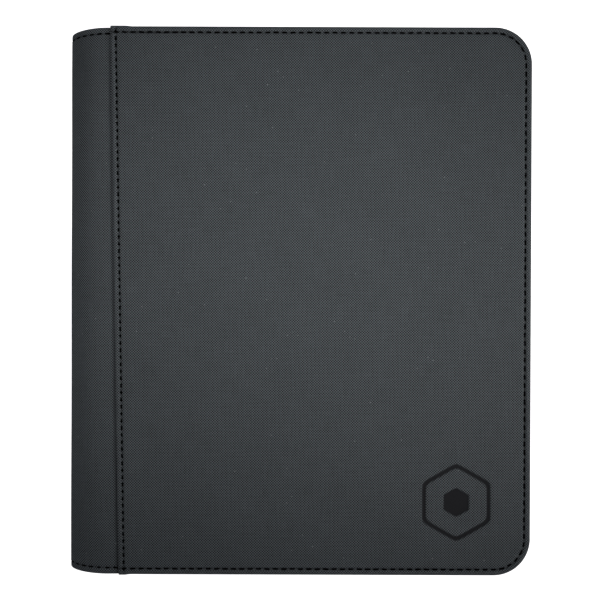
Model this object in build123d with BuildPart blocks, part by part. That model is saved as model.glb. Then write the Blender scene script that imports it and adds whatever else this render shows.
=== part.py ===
"""Trading card binder: a padded, sewn cover with a rounded soft spine around twenty fixed side-loading pages.

The binder lies closed on its back cover. +X runs from the spine to the fore-edge, +Y towards the head and +Z out of
the front cover. The origin is under the middle of the binder, on the surface that it lies on. Units are millimetres.

Everything is split at the middle of the thickness: what is below that plane belongs to the back cover, what is above
it opens with the front cover about a line just outside the spine, and each page turns about the same line.
"""

from build123d import *
import os

# Overall size, closed
cover_length = 320.0  # head to tail
binder_width = 272.0  # crest of the spine to fore-edge
binder_thickness = 32.0  # back cover to front cover
corner_radius = 21.5  # the two fore-edge corners of each cover

# Layers of a cover, from the outside in
skin = 0.8  # coated woven fabric
foam = 1.0  # soft padding under the fabric
board = 1.5  # stiffener
lining = 0.5  # fabric on the inside

# Spine
spine_depth = 26.0  # how far the rounded spine stands out from the flat of the covers
seam_offset = 29.0  # crest of the spine to the folded edge of the cover fabric
front_seam_lean = 5.6  # the front fold is this much nearer the crest at the head than at the tail
board_offset = 39.0  # crest of the spine to the edge of the board
strip_web = 0.8  # thickness of the binding strip's sewn web
strip_flange = 0.6  # thickness of the flange that holds the pages

# Stitching
edge_stitch_inset = 3.7  # cover edge to the line of stitches
seam_stitch_inset = 3.1  # folded edge to the line of stitches
thread_width = 0.6
thread_height = 0.4
channel_width = 1.2  # the groove that the stitches pull into the fabric
channel_depth = 0.5

# Outline pressed into the front cover
mark_size = 40.0  # across the flats of the outer hexagon
mark_line = 2.4  # width of the pressed line
mark_core = 15.0  # across the flats of the middle hexagon
mark_depth = 0.4
mark_from_fore_edge = 43.5  # fore-edge to the middle of the mark
mark_from_tail = 43.0  # tail edge to the middle of the mark

# Pages
page_count = 20
page_end_inset = 11.5  # cover's head or tail to the page's end
page_sheet = 0.2  # black middle sheet
page_film = 0.12  # clear pocket film
pocket_gap = 0.23  # room for a card between sheet and film
page_fore_inset = 9.0  # cover's fore-edge to the page's edge
page_corner_radius = 5.0
pocket_columns = 3
pocket_rows = 3
weld_width = 1.5
page_fore_margin = 2.0  # page's fore-edge to the middle of the last weld
page_end_margin = 6.0  # page's head or tail to the first weld
gutter_width = 43.2  # bound edge to the middle of the first weld
mouth_width = 3.0  # slit through the film at each pocket's spine side
mouth_end_gap = 8.5  # what the slit is shorter than its pocket by
bound_pitch = 0.6  # page to page at the bound edge
bound_tab = 5.0  # level part of the sheet at the bound edge
gutter_flat = 4.0  # level part of the sheet between the pockets and the slope
strip_offset = 18.0  # crest of the spine to the strip's inner face

# Clearances
halves_gap = 0.3  # between the two halves of the binder where they meet
page_clearance = 0.3  # between a page and what is next to it
lining_inset = 0.5  # cover edge to the edge of the lining

# Places that follow from the sizes above
half_length = cover_length / 2
crest_x = -binder_width / 2
fore_x = binder_width / 2
middle_z = binder_thickness / 2
spine_flat_x = crest_x + spine_depth
seam_x = crest_x + seam_offset
board_x = crest_x + board_offset
strip_x = crest_x + strip_offset
board_z = skin + foam
lining_z = board_z + board
cover_thickness = lining_z + lining
spine_lining_z = 2 * skin
spine_inside_z = spine_lining_z + lining
low_half_top = middle_z - halves_gap / 2
middle_plane = Plane.XY.offset(middle_z)

# Page levels: evenly spaced in the room between the two linings
page_pitch = (binder_thickness - 2 * cover_thickness - page_clearance) / page_count
page_fore_x = fore_x - page_fore_inset
bound_x = strip_x + page_clearance
pockets_x = bound_x + gutter_width
gutter_x = pockets_x - weld_width - gutter_flat
page_length = cover_length - 2 * page_end_inset
pocket_width = (page_fore_x - page_fore_margin - pockets_x) / pocket_columns
pocket_height = (page_length - 2 * page_end_margin - weld_width) / pocket_rows
mouth_length = pocket_height - mouth_end_gap
top_bound_z = bound_pitch * (page_count - 1) / 2
flange_height = top_bound_z + page_sheet

os.makedirs("parts", exist_ok=True)


def save(piece, label):
    """Name a finished piece and write its file."""
    piece.part.label = label
    export_step(piece.part, f"parts/{label}.step")
    print(f"{label}: {len(piece.part.solids())} solid(s), {piece.part.volume:.1f} mm3")


def save_front(piece, label):
    """Turn a piece made on the back cover over to the front cover, and write it."""
    with BuildPart() as front_piece:
        mirror(piece.part, about=middle_plane)
    save(front_piece, label)


def cover_outline(inset, spine_x, lean):
    """The flat outline of a cover, drawn in by an inset at head, fore-edge and tail, up to spine_x."""
    top = half_length - inset
    right = fore_x - inset
    with BuildSketch() as outline:
        with BuildLine():
            Polyline(
                (spine_x - lean / 2, top),
                (right, top),
                (right, -top),
                (spine_x + lean / 2, -top),
                close=True,
            )
        make_face()
        fillet(outline.vertices().group_by(Axis.X)[-1], corner_radius - inset)
    return outline.sketch


def stitch_path(inset, width, lean):
    """A band along head, fore-edge and tail of a cover, its middle at an inset from the edge."""
    spine_x = seam_x + seam_stitch_inset + channel_width
    with BuildSketch() as band:
        add(cover_outline(inset - width / 2, spine_x, lean))
        add(cover_outline(inset + width / 2, spine_x - channel_width, lean), mode=Mode.SUBTRACT)
    return band.sketch


def seam_path(width, lean):
    """A straight band beside the folded edge of the cover fabric, leaning as the fold does."""
    x = seam_x + seam_stitch_inset
    end_y = half_length - edge_stitch_inset
    shift = lean / 2 * end_y / half_length
    with BuildSketch() as band:
        with BuildLine():
            Polyline(
                (x - shift - width / 2, end_y),
                (x - shift + width / 2, end_y),
                (x + shift + width / 2, -end_y),
                (x + shift - width / 2, -end_y),
                close=True,
            )
        make_face()
    return band.sketch


def outer_panel(lean, marked):
    """Outer fabric of a cover: flat outside, turned up round three edges, lying over the spine fabric at the fold."""
    with BuildPart() as panel:
        with BuildSketch():
            add(cover_outline(0, seam_x, lean))
        extrude(amount=skin)
        # the turned-up edge, from the board's edge outwards
        with BuildSketch(Plane.XY.offset(skin)):
            add(cover_outline(0, board_x, 0))
            add(cover_outline(skin, board_x - skin, 0), mode=Mode.SUBTRACT)
        extrude(amount=lining_z - skin)
        # grooves that the stitches pull in
        with BuildSketch():
            add(stitch_path(edge_stitch_inset, channel_width, lean))
            add(seam_path(channel_width, lean))
        extrude(amount=channel_depth, mode=Mode.SUBTRACT)
        if marked:
            mark_y = mark_from_tail - half_length
            with BuildSketch():
                with Locations((fore_x - mark_from_fore_edge, mark_y)):
                    RegularPolygon(mark_size / 2, 6, major_radius=False, rotation=30)
                    RegularPolygon(mark_size / 2 - mark_line, 6, major_radius=False, rotation=30, mode=Mode.SUBTRACT)
                    RegularPolygon(mark_core / 2, 6, major_radius=False, rotation=30)
            extrude(amount=mark_depth, mode=Mode.SUBTRACT)
    return panel


def cover_layer(bottom_z, thickness):
    """A flat layer inside a cover: the foam pad or the board."""
    with BuildPart() as layer:
        with BuildSketch(Plane.XY.offset(bottom_z)):
            add(cover_outline(skin, board_x, 0))
        extrude(amount=thickness)
    return layer


def cover_lining():
    """Inner fabric of a cover, turned down over the board's spine edge to meet the spine lining."""
    with BuildPart() as sheet:
        with BuildSketch(Plane.XY.offset(lining_z)):
            add(cover_outline(lining_inset, board_x - lining, 0))
        extrude(amount=lining)
        with BuildSketch(Plane.XY.offset(spine_inside_z)):
            with Locations((board_x - lining / 2, 0)):
                Rectangle(lining, cover_length - 2 * lining_inset)
        extrude(amount=lining_z - spine_inside_z)
    return sheet


def edge_stitching(lean):
    """The thread sewn round a cover's head, fore-edge and tail, lying in its groove."""
    with BuildPart() as thread:
        with BuildSketch(Plane.XY.offset(channel_depth - thread_height)):
            add(stitch_path(edge_stitch_inset, thread_width, lean))
            add(seam_path(channel_width, lean), mode=Mode.SUBTRACT)
        extrude(amount=thread_height)
    return thread


def seam_stitching(lean):
    """The thread sewn beside the folded edge of the cover fabric."""
    with BuildPart() as thread:
        with BuildSketch(Plane.XY.offset(channel_depth - thread_height)):
            add(seam_path(thread_width, lean))
        extrude(amount=thread_height)
    return thread


def spine_shell(outside, thickness):
    """Lower half of a fabric layer of the rounded spine, with a flat tongue that goes under the cover fabric.

    outside is how deep the layer lies under the outside of the covers.
    """
    with BuildPart() as shell:
        with BuildSketch(Plane.XZ):
            with Locations((spine_flat_x, middle_z)):
                Ellipse(spine_depth - (outside - skin), middle_z - outside)
                Ellipse(
                    spine_depth - (outside - skin) - thickness,
                    middle_z - outside - thickness,
                    mode=Mode.SUBTRACT,
                )
            with Locations((crest_x, low_half_top)):
                Rectangle(spine_depth, middle_z, align=(Align.MIN, Align.MAX), mode=Mode.INTERSECT)
            with Locations((spine_flat_x, outside)):
                Rectangle(board_x - spine_flat_x, thickness, align=(Align.MIN, Align.MIN))
        extrude(amount=half_length, both=True)
    return shell


def binding_strip():
    """Lower half of the strip that holds the pages: a web sewn to the crest of the spine, and a flange across them."""
    inside = spine_inside_z - skin
    with BuildPart() as strip:
        with BuildSketch(Plane.XZ):
            with Locations((spine_flat_x, middle_z)):
                Ellipse(spine_depth - inside, middle_z - spine_inside_z)
            with Locations((crest_x, low_half_top)):
                Rectangle(strip_offset, strip_web, align=(Align.MIN, Align.MAX), mode=Mode.INTERSECT)
            with Locations((strip_x, low_half_top)):
                Rectangle(strip_flange, flange_height, align=(Align.MAX, Align.MAX))
        extrude(amount=page_length / 2, both=True)
    return strip


def page_level(number):
    """Height of a page's middle sheet over its pockets, counted from the front cover."""
    return middle_z + page_pitch * ((page_count + 1) / 2 - number)


def bound_level(number):
    """Height of a page's middle sheet at its bound edge."""
    return middle_z + bound_pitch * ((page_count + 1) / 2 - number)


def page_sheet_piece(number):
    """The black middle sheet of a page, level over the pockets and sloping down or up to the binding strip."""
    level = page_level(number)
    bound = bound_level(number)
    half = page_sheet / 2
    tab_x = bound_x + bound_tab
    with BuildPart() as sheet:
        with BuildSketch(Plane.XZ):
            with BuildLine():
                Polyline(
                    (bound_x, bound - half),
                    (tab_x, bound - half),
                    (gutter_x, level - half),
                    (page_fore_x, level - half),
                    (page_fore_x, level + half),
                    (gutter_x, level + half),
                    (tab_x, bound + half),
                    (bound_x, bound + half),
                    close=True,
                )
            make_face()
        extrude(amount=page_length / 2, both=True)
        fillet(sheet.edges().filter_by(Axis.Z).group_by(Axis.X)[-1], page_corner_radius)
    return sheet


def pocket_film():
    """Clear film with its welds for the upper side of a page whose middle sheet lies at height 0."""
    film_x = (pockets_x - weld_width + page_fore_x) / 2
    film_width = page_fore_x - pockets_x + weld_width
    rows_length = pocket_rows * pocket_height
    first_mouth_x = pockets_x + weld_width / 2 + mouth_width / 2
    columns_x = pockets_x + pocket_columns * pocket_width / 2
    mouths_x = first_mouth_x + (pocket_columns - 1) * pocket_width / 2
    with BuildPart() as film:
        with BuildSketch(Plane.XY.offset(page_sheet / 2 + pocket_gap)):
            with Locations((film_x, 0)):
                Rectangle(film_width, rows_length + 2 * weld_width)
            with Locations((mouths_x, 0)):
                with GridLocations(pocket_width, pocket_height, pocket_columns, pocket_rows):
                    SlotOverall(mouth_length, mouth_width, rotation=90, mode=Mode.SUBTRACT)
        extrude(amount=page_film)
        with BuildSketch(Plane.XY.offset(page_sheet / 2)):
            # welds between the rows, then those that close each column at its fore-edge side
            with Locations((columns_x, 0)):
                with GridLocations(1, pocket_height, 1, pocket_rows + 1):
                    Rectangle(pocket_columns * pocket_width, weld_width)
                with GridLocations(pocket_width, 1, pocket_columns + 1, 1):
                    Rectangle(weld_width, rows_length)
        extrude(amount=pocket_gap)
    return film


def pocket_pair(film, number):
    """Both films of a page, at the height of its middle sheet."""
    with BuildPart() as pockets:
        with Locations((0, 0, page_level(number))):
            add(film.part)
        mirror(film.part.moved(Location((0, 0, page_level(number)))), about=Plane.XY.offset(page_level(number)))
    return pockets


# Back cover
save(outer_panel(0, False), "back_outer_panel")
save(cover_layer(skin, foam), "back_foam_pad")
save(cover_layer(board_z, board), "back_board")
save(cover_lining(), "back_lining")
save(edge_stitching(0), "back_edge_stitching")
save(seam_stitching(0), "back_seam_stitching")
save(spine_shell(skin, skin), "spine_panel_back")
save(spine_shell(spine_lining_z, lining), "spine_lining_back")
save(binding_strip(), "binding_strip_back")

# Front cover
save_front(outer_panel(front_seam_lean, True), "front_outer_panel")
save_front(cover_layer(skin, foam), "front_foam_pad")
save_front(cover_layer(board_z, board), "front_board")
save_front(cover_lining(), "front_lining")
save_front(edge_stitching(front_seam_lean), "front_edge_stitching")
save_front(seam_stitching(front_seam_lean), "front_seam_stitching")
save_front(spine_shell(skin, skin), "spine_panel_front")
save_front(spine_shell(spine_lining_z, lining), "spine_lining_front")
save_front(binding_strip(), "binding_strip_front")

# Pages, the first one next to the front cover
clear_film = pocket_film()
for page in range(1, page_count + 1):
    save(page_sheet_piece(page), f"page_{page:02d}_sheet")
    save(pocket_pair(clear_film, page), f"page_{page:02d}_pockets")
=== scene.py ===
"""Trading card binder, dressed: padded woven covers, a rounded sewn spine, stitches, boards and pocket pages.

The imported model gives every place. Sizes in this file are in millimetres, and become metres where a mesh is
made. +X runs from the spine to the fore-edge, +Y towards the head and +Z out of the front cover. A depth is
measured from the outside of a cover inwards, so that both covers are made by the same formulas.
"""

import logging
import math
from dataclasses import dataclass, field, replace
from enum import Enum
from typing import Dict, List, Optional, Tuple, Union

import bpy
import numpy as np
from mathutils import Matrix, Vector


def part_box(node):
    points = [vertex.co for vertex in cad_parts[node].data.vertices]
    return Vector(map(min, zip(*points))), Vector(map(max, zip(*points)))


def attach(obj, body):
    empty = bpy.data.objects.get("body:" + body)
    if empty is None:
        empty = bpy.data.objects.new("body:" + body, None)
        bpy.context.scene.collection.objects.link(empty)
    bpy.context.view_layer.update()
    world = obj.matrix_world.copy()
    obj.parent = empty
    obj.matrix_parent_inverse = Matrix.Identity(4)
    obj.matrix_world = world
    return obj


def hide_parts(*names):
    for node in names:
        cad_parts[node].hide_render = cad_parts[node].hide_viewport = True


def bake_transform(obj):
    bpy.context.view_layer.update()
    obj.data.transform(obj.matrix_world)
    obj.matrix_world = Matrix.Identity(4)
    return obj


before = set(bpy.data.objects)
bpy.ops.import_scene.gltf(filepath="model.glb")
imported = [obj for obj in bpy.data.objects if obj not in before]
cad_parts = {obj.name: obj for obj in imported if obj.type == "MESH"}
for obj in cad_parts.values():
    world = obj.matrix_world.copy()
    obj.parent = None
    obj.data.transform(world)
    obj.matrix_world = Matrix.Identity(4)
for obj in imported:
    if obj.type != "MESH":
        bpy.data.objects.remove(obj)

MM = 0.001
CLOTH_MAP = "cloth"
# the cloth's darker flat places: the die's pressed mark, and painted shade along the stitch rows and in the
# spine's crease
PRESSED_AND_SHADE = "pressed"
PAGE_COUNT = 20
SHARP_ANGLE = 60  # edges that turn by more degrees than this are shaded sharp
WAVE_LENGTH = 0.314  # length of one wave of the wave texture at scale 1

log = logging.getLogger("card_binder")
Array = np.ndarray
Socket = Union[bpy.types.NodeSocket, float, Tuple[float, ...]]


class Side(Enum):
    """Which of the two covers a piece belongs to."""

    BACK = "back"
    FRONT = "front"


class Coordinates(Enum):
    """What a woven pattern follows."""

    CLOTH = "UV"
    OBJECT = "Object"


# ----------------------------------------------------------------------------------------------------
# Numbers, meshes and nodes


def box_mm(node: str) -> Tuple[Array, Array]:
    """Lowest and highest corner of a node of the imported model.

    Args:
        node: The node's name.

    Returns:
        Two arrays of x, y and z in millimetres.
    """
    low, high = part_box(node)
    return np.array(low) / MM, np.array(high) / MM


def smooth_step(value: Array, start: float, end: float) -> Array:
    """Rise from 0 at start to 1 at end, level at both.

    Formula: with t the share of the way from start to end, 3 t squared less 2 t cubed.

    Args:
        value: Where to work it out.
        start: Where it leaves 0.
        end: Where it reaches 1.

    Returns:
        Numbers from 0 to 1.
    """
    t = np.clip((value - start) / (end - start), 0, 1)
    return t * t * (3 - 2 * t)


def bell(distance: Array, width: float) -> Array:
    """Bell curve of a distance: 1 at 0, and e to the power of minus the square of distance over width."""
    return np.exp(-((distance / width) ** 2))


def evenly(start: float, end: float, step: float) -> Array:
    """Even positions from start up to, and not including, end.

    Args:
        start: First position.
        end: Where the next stretch begins.
        step: Widest spacing.

    Returns:
        The positions.
    """
    count = max(1, math.ceil((end - start) / step))
    return np.linspace(start, end, count, endpoint=False)


@dataclass
class Surface:
    """A mesh on its way: points in millimetres, faces, and where each point lies on the flat cloth."""

    points: Array
    faces: List[Array]
    cloth: Array
    # 1 in the die's pressed mark, and painted shade along the stitch rows and in the spine's crease
    pressed: Optional[Array] = None

    @staticmethod
    def joined(surfaces: List["Surface"]) -> "Surface":
        """Put several surfaces into one, with no pressed areas.

        Args:
            surfaces: What to join.

        Returns:
            One surface with all their points and faces.
        """
        starts = np.cumsum([0] + [len(surface.points) for surface in surfaces])
        faces = [part + start for surface, start in zip(surfaces, starts) for part in surface.faces]
        points = np.concatenate([surface.points for surface in surfaces])
        return Surface(points, faces, np.concatenate([surface.cloth for surface in surfaces]))


def make_piece(name: str, surface: Surface, material: bpy.types.Material) -> bpy.types.Object:
    """Turn a surface into an object at the origin, with its place in its mesh.

    Args:
        name: The piece's name.
        surface: Its points and faces.
        material: Its finish.

    Returns:
        The new object.
    """
    corners = np.concatenate([part.ravel() for part in surface.faces]).astype(np.int32)
    sides = np.concatenate([np.full(len(part), part.shape[1]) for part in surface.faces])
    mesh = bpy.data.meshes.new(name)
    mesh.vertices.add(len(surface.points))
    mesh.vertices.foreach_set("co", (surface.points * MM).astype(np.float32).ravel())
    mesh.loops.add(len(corners))
    mesh.loops.foreach_set("vertex_index", corners)
    mesh.polygons.add(len(sides))
    mesh.polygons.foreach_set("loop_start", (np.cumsum(sides) - sides).astype(np.int32))
    mesh.polygons.foreach_set("use_smooth", np.ones(len(sides), bool))
    cloth_map = mesh.uv_layers.new(name=CLOTH_MAP)
    cloth_map.data.foreach_set("uv", (surface.cloth * MM)[corners].astype(np.float32).ravel())
    if surface.pressed is not None:
        attribute = mesh.attributes.new(PRESSED_AND_SHADE, "FLOAT", "POINT")
        attribute.data.foreach_set("value", surface.pressed.astype(np.float32))
    mesh.update(calc_edges=True)
    mesh.validate()
    mesh.set_sharp_from_angle(angle=math.radians(SHARP_ANGLE))
    mesh.materials.append(material)
    piece = bpy.data.objects.new(name, mesh)
    bpy.context.scene.collection.objects.link(piece)
    log.info("%s: %d points, %d faces", name, len(surface.points), len(sides))
    return piece


def dress(node: str, material: bpy.types.Material) -> None:
    """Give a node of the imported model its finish, and leave its mesh alone."""
    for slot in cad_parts[node].material_slots:
        slot.material = material
    log.info("%s: dressed in %s", node, material.name)


def grid_faces(rows: int, columns: int, closed: bool = False) -> Array:
    """Four-sided faces of a grid whose point number is row * columns + column.

    Args:
        rows: Number of rows.
        columns: Number of points in a row.
        closed: Whether each row's last point joins its first.

    Returns:
        One line of four point numbers for each face, anticlockwise with rows to the right and columns up.
    """
    row = np.arange(rows - 1)[:, None] * columns
    column = np.arange(columns if closed else columns - 1)[None, :]
    after = (column + 1) % columns
    quads = np.stack([row + column, row + columns + column, row + columns + after, row + after], axis=-1)
    return quads.reshape(-1, 4)


# ----------------------------------------------------------------------------------------------------
# Finishes


def linear(hex_value: str) -> Tuple[float, float, float, float]:
    """Turn an sRGB hex colour into the linear one that a shader takes.

    Formula: the sRGB curve, a straight line for the darkest tones and a power of 2.4 above them.

    Args:
        hex_value: Six hex digits.

    Returns:
        Red, green, blue, and 1 for alpha.
    """
    shares = [int(hex_value[start:start + 2], 16) / 255 for start in (0, 2, 4)]
    red, green, blue = [s / 12.92 if s <= 0.04045 else ((s + 0.055) / 1.055) ** 2.4 for s in shares]
    return red, green, blue, 1.0


def add_node(
    tree: bpy.types.NodeTree,
    kind: str,
    inputs: Optional[Dict[Union[str, int], Socket]] = None,
    **settings: object,
) -> bpy.types.Node:
    """Add a shader node, set it up and link what feeds it.

    Args:
        tree: The material's node tree.
        kind: The node's type.
        inputs: For each input, by name or number, a value or the output socket that feeds it.
        **settings: Properties of the node.

    Returns:
        The node.
    """
    node = tree.nodes.new(kind)
    for name, value in settings.items():
        setattr(node, name, value)
    for key, value in (inputs or {}).items():
        if isinstance(value, bpy.types.NodeSocket):
            tree.links.new(value, node.inputs[key])
        else:
            node.inputs[key].default_value = value
    return node


def new_material(name: str) -> Tuple[bpy.types.Material, bpy.types.NodeTree, bpy.types.Node]:
    """Start a node material.

    Args:
        name: The finish's name.

    Returns:
        The material, its empty tree and its output node.
    """
    material = bpy.data.materials.new(name)
    material.use_nodes = True
    tree = material.node_tree
    tree.nodes.clear()
    return material, tree, add_node(tree, "ShaderNodeOutputMaterial")


@dataclass(frozen=True)
class WovenCloth:
    """Plain-weave polyester with a thin polyurethane coat, as on bags and binders.

    To the eye: a fine checker of domed crossings, the warp lighter than the weft, a soft broad gloss from the
    coat, faint slubs along the threads and a few light specks of dust. Where a die or a stitch has pressed
    it, the coat is flat and without the checker. It is darker there: the die's mark is darker in itself, and
    along the stitch rows and in the crease by the spine's fold the darker colour is painted shade.
    """

    name: str
    warp: str
    weft: str
    # colour of the die's pressed mark, also used as painted shade along the stitch rows and in the spine's
    # crease
    pressed: str
    thread_pitch: float
    roughness: float
    specular: float
    bump_height: float
    contrast: float
    specks: float
    coordinates: Coordinates
    slub_width: float = 1.5  # in threads
    slub_length: float = 10.0  # in widths of the slub
    slub_contrast: float = 0.4
    clouds_per_metre: float = 28.0  # broad clouds in the coat, about 36 mm wide
    cloud_contrast: float = 0.3
    cloud_roughness: float = 0.12
    dust_cells_per_metre: float = 330.0  # cells about 3 mm wide, with a dot in the middle of some
    dust_radius: float = 0.1  # in cells
    dust_free: float = 0.93  # share of the cells with no dot
    dust_colour: str = "8c9090"
    top_smoothness: float = 0.25  # how much smoother the warp is where it is on top

    def build(self) -> bpy.types.Material:
        """Make the material.

        Formula of the weave: sine of pi x over the pitch, times sine of pi y over the pitch. Its sign says
        which thread is on top, and its size is the height of the crossing's dome.

        Returns:
            The finished material.
        """
        material, tree, output = new_material(self.name)
        place = add_node(tree, "ShaderNodeTexCoord").outputs[self.coordinates.value]
        turns = math.pi / (self.thread_pitch * MM)
        phase = add_node(tree, "ShaderNodeVectorMath", {0: place, 3: turns}, operation="SCALE")
        parts = add_node(tree, "ShaderNodeSeparateXYZ", {0: phase.outputs[0]})
        across = add_node(tree, "ShaderNodeMath", {0: parts.outputs[0]}, operation="SINE")
        along = add_node(tree, "ShaderNodeMath", {0: parts.outputs[1]}, operation="SINE")
        weave = add_node(
            tree, "ShaderNodeMath", {0: across.outputs[0], 1: along.outputs[0]}, operation="MULTIPLY"
        )
        dome = add_node(tree, "ShaderNodeMath", {0: weave.outputs[0]}, operation="ABSOLUTE")

        # slubs: noise stretched along each of the two thread directions
        narrow = 1 / (self.thread_pitch * MM * self.slub_width)
        drawn = narrow / self.slub_length
        slubs = []
        for scale in ((narrow, drawn, narrow), (drawn, narrow, narrow)):
            drawn_place = add_node(tree, "ShaderNodeMapping", {0: place, 3: scale})
            noise_inputs = {0: drawn_place.outputs[0], "Scale": 1.0, "Detail": 1.0}
            slubs.append(add_node(tree, "ShaderNodeTexNoise", noise_inputs).outputs[0])
        slub = add_node(tree, "ShaderNodeMath", {0: slubs[0], 1: slubs[1]}, operation="ADD")
        cloud = add_node(
            tree,
            "ShaderNodeTexNoise",
            {0: place, "Scale": self.clouds_per_metre, "Detail": 3.0, "Roughness": 0.6},
        )

        # the share of warp colour: the checker, moved a little by slubs and by broad clouds in the coat
        checker = add_node(
            tree,
            "ShaderNodeMath",
            {0: weave.outputs[0], 1: self.contrast, 2: 0.5},
            operation="MULTIPLY_ADD",
        )
        uneven = add_node(
            tree,
            "ShaderNodeMath",
            {0: slub.outputs[0], 1: self.slub_contrast, 2: -self.slub_contrast},
            operation="MULTIPLY_ADD",
        )
        clouded = add_node(
            tree,
            "ShaderNodeMath",
            {0: cloud.outputs[0], 1: self.cloud_contrast, 2: -self.cloud_contrast / 2},
            operation="MULTIPLY_ADD",
        )
        mixed = add_node(
            tree, "ShaderNodeMath", {0: checker.outputs[0], 1: uneven.outputs[0]}, operation="ADD"
        )
        share = add_node(
            tree,
            "ShaderNodeMath",
            {0: mixed.outputs[0], 1: clouded.outputs[0]},
            operation="ADD",
            use_clamp=True,
        )

        # dust: a small dot in the middle of a few of the cells
        cells = add_node(tree, "ShaderNodeTexVoronoi", {0: place, "Scale": self.dust_cells_per_metre})
        near = add_node(
            tree,
            "ShaderNodeMath",
            {0: cells.outputs["Distance"], 1: self.dust_radius},
            operation="LESS_THAN",
        )
        tone = add_node(tree, "ShaderNodeSeparateColor", {0: cells.outputs["Color"]})
        chosen = add_node(
            tree, "ShaderNodeMath", {0: tone.outputs[0], 1: self.dust_free}, operation="GREATER_THAN"
        )
        dust = add_node(
            tree, "ShaderNodeMath", {0: near.outputs[0], 1: chosen.outputs[0]}, operation="MULTIPLY"
        )
        dust_share = add_node(
            tree, "ShaderNodeMath", {0: dust.outputs[0], 1: self.specks}, operation="MULTIPLY"
        )

        # the colour, layer on layer: weft under warp, then the dust, then the pressed mark and the painted
        # shade of the stitch grooves and the crease
        pressed = add_node(tree, "ShaderNodeAttribute", attribute_name=PRESSED_AND_SHADE)
        layers = (
            (share.outputs[0], self.warp),
            (dust_share.outputs[0], self.dust_colour),
            (pressed.outputs["Fac"], self.pressed),
        )
        colour: Socket = linear(self.weft)
        for layer_share, layer_colour in layers:
            mix_inputs = {0: layer_share, 6: colour, 7: linear(layer_colour)}
            colour = add_node(tree, "ShaderNodeMix", mix_inputs, data_type="RGBA").outputs[2]

        # where it is pressed, or painted in shade, it has neither relief nor gloss
        left = add_node(tree, "ShaderNodeMath", {0: 1.0, 1: pressed.outputs["Fac"]}, operation="SUBTRACT")
        relief = add_node(
            tree, "ShaderNodeMath", {0: dome.outputs[0], 1: left.outputs[0]}, operation="MULTIPLY"
        )
        relief_side = add_node(
            tree, "ShaderNodeMath", {0: weave.outputs[0], 1: left.outputs[0]}, operation="MULTIPLY"
        )
        bump = add_node(
            tree,
            "ShaderNodeBump",
            {"Strength": 1.0, "Distance": self.bump_height * MM, "Height": relief.outputs[0]},
        )
        coat = add_node(
            tree,
            "ShaderNodeMath",
            {0: cloud.outputs[0], 1: self.cloud_roughness, 2: self.roughness - self.cloud_roughness / 2},
            operation="MULTIPLY_ADD",
        )
        rough = add_node(
            tree,
            "ShaderNodeMath",
            {0: relief_side.outputs[0], 1: -self.top_smoothness, 2: coat.outputs[0]},
            operation="MULTIPLY_ADD",
        )
        gloss = add_node(tree, "ShaderNodeMath", {0: left.outputs[0], 1: self.specular}, operation="MULTIPLY")
        shader = add_node(
            tree,
            "ShaderNodeBsdfPrincipled",
            {
                "Base Color": colour,
                "Roughness": rough.outputs[0],
                "IOR": 1.5,
                "Specular IOR Level": gloss.outputs[0],
                "Normal": bump.outputs[0],
            },
        )
        tree.links.new(shader.outputs[0], output.inputs[0])
        return material


@dataclass(frozen=True)
class SewingThread:
    """Bonded polyester sewing thread, two plies twisted.

    To the eye: almost black, with a slight waxy gloss on top and slanting grooves between the plies.
    """

    name: str = "bonded_polyester_thread"
    colour: str = "010101"
    light: str = "040404"
    twist_pitch: float = 0.8
    ply_angle: float = 38.0  # degrees
    ply_depth: float = 0.1
    roughness: float = 0.8
    specular: float = 0.06

    def build(self) -> bpy.types.Material:
        """Make the material, with the plies as a slanting wave on the stitch's own map."""
        material, tree, output = new_material(self.name)
        place = add_node(tree, "ShaderNodeTexCoord").outputs["UV"]
        slanted = add_node(tree, "ShaderNodeMapping", {0: place, 2: (0, 0, math.radians(self.ply_angle))})
        plies = add_node(
            tree,
            "ShaderNodeTexWave",
            {0: slanted.outputs[0], "Scale": WAVE_LENGTH / (self.twist_pitch * MM)},
        )
        colour = add_node(
            tree,
            "ShaderNodeMix",
            {0: plies.outputs["Fac"], 6: linear(self.colour), 7: linear(self.light)},
            data_type="RGBA",
        )
        bump = add_node(
            tree,
            "ShaderNodeBump",
            {"Strength": 0.6, "Distance": self.ply_depth * MM, "Height": plies.outputs["Fac"]},
        )
        shader = add_node(
            tree,
            "ShaderNodeBsdfPrincipled",
            {
                "Base Color": colour.outputs[2],
                "Roughness": self.roughness,
                "Specular IOR Level": self.specular,
                "Normal": bump.outputs[0],
            },
        )
        tree.links.new(shader.outputs[0], output.inputs[0])
        return material


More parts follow.
